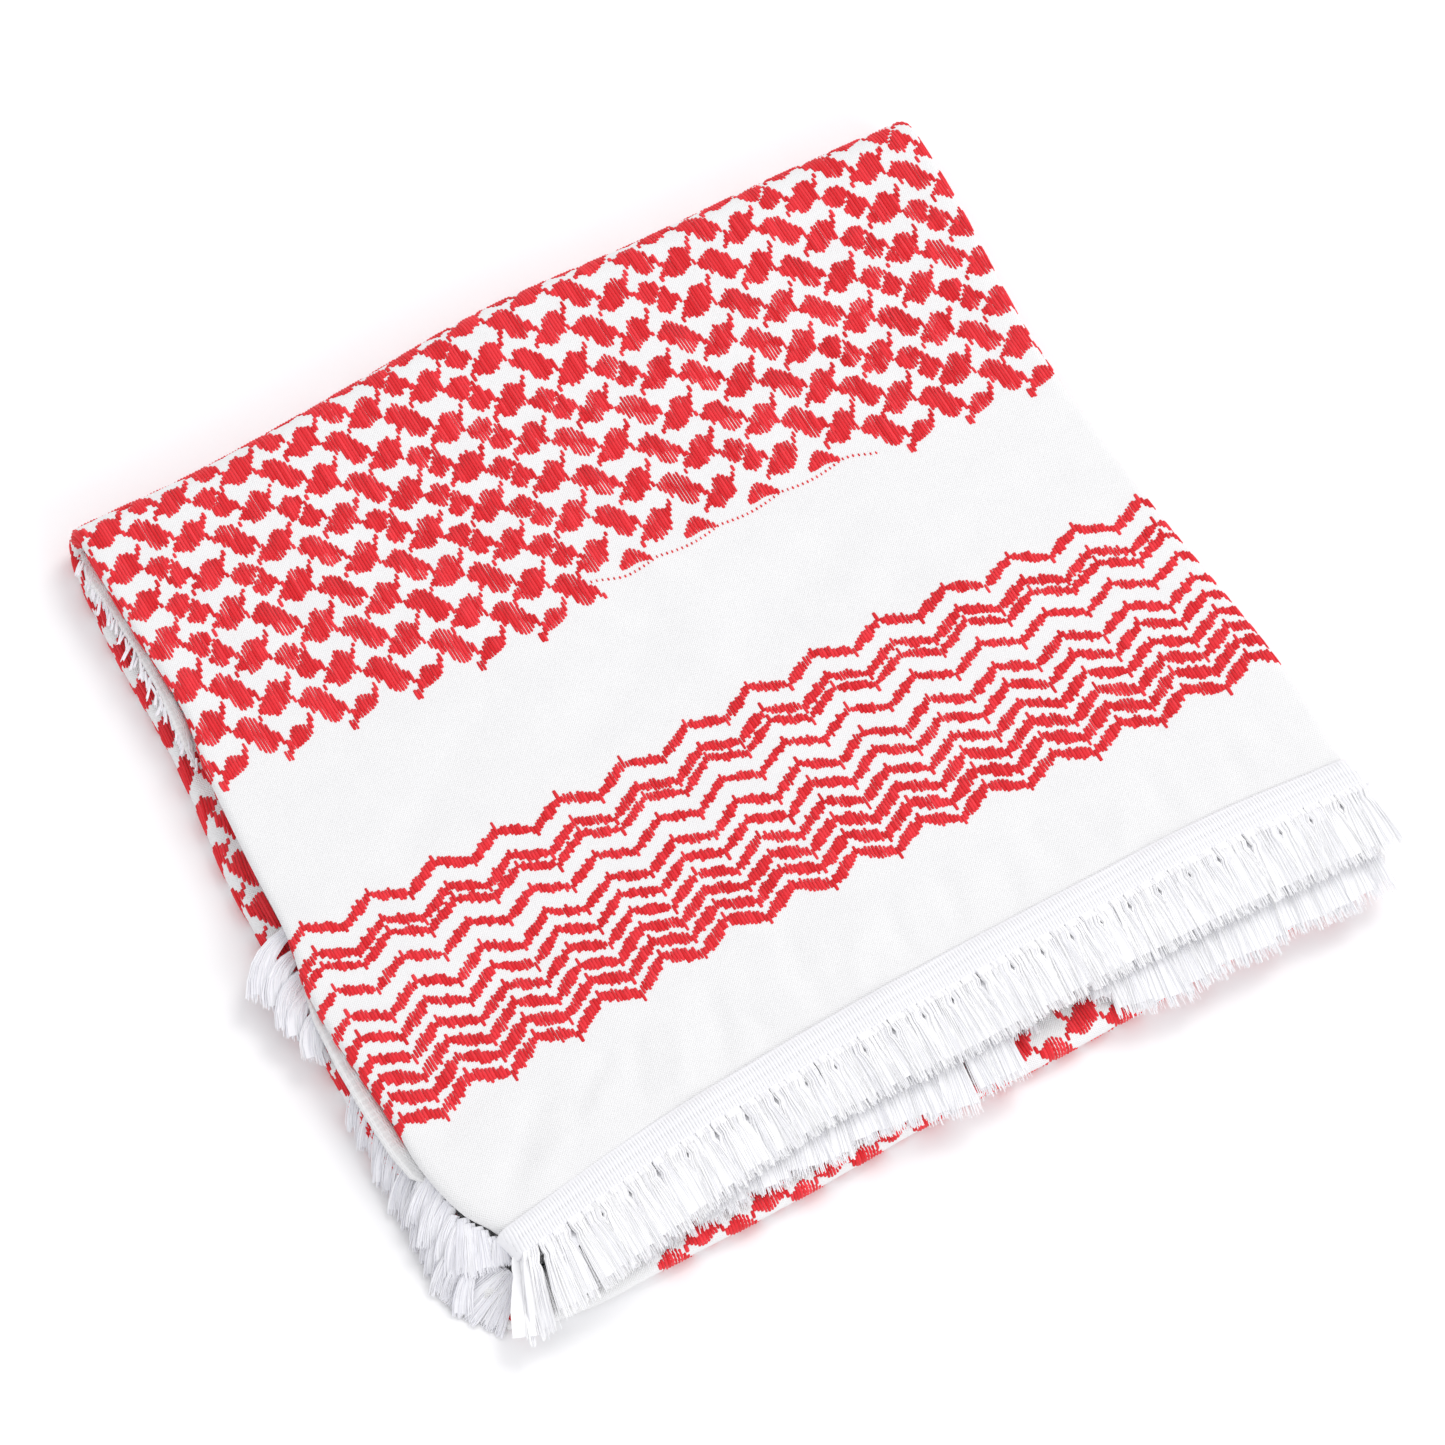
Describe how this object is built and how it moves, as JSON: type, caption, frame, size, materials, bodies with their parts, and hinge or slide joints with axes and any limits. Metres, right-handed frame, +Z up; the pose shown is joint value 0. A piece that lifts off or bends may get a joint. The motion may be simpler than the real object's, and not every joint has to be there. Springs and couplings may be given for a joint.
{
  "type": "folded keffiyeh headscarf",
  "caption": "Woven cotton headscarf with a red net and chevron pattern and tasselled braid edges, folded into a flat square and lying on a surface.",
  "frame": {"origin": "middle of the bundle's footprint, on the surface it rests on", "axes": "+Z up; +X to the right along the tasselled edge; +Y from the tasselled edge to the back fold"},
  "size_m": [0.3286, 0.3168, 0.02],
  "materials": {
    "patterned_cotton": "soft matt woven cotton, white ground with raised red floats",
    "white_cotton": "soft matt plain-woven white cotton",
    "cotton_braid": "matt ribbed white cotton braid",
    "cotton_tassels": "loose white cotton yarn with a slight lustre"
  },
  "bodies": {
    "root": {"cloth_top": "patterned_cotton", "cloth_bottom": "patterned_cotton", "cloth_front_fold": "patterned_cotton", "hidden_layers": "white_cotton", "braid_front": "cotton_braid", "fringe_front": "cotton_tassels", "fringe_second": "cotton_tassels", "fringe_left_front": "cotton_tassels", "fringe_left_middle": "cotton_tassels", "fringe_corner": "cotton_tassels"}
  },
  "joints": []
}
